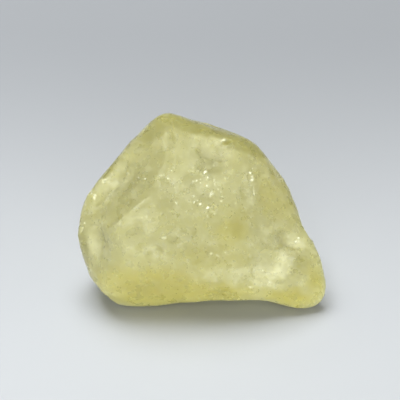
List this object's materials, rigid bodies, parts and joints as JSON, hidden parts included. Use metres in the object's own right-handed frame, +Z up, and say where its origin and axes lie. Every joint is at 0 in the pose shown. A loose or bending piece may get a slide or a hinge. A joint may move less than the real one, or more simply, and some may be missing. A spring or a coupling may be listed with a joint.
{
  "type": "raw libyan desert glass",
  "caption": "Raw nodule of pale yellow natural desert glass with worn fracture faces and shallow chips, lying on a flat fracture face.",
  "frame": {"origin": "centre of the bounding box, on the surface that the stone lies on", "axes": "+Z up, +X along the stone's length towards its narrow tail, -Y towards the broad pale face that looks up and forward"},
  "size_m": [0.0358, 0.0216, 0.0243],
  "materials": {
    "desert_glass": "frosted, translucent pale yellow"
  },
  "bodies": {
    "root": {"desert_glass": "desert_glass"}
  },
  "joints": []
}
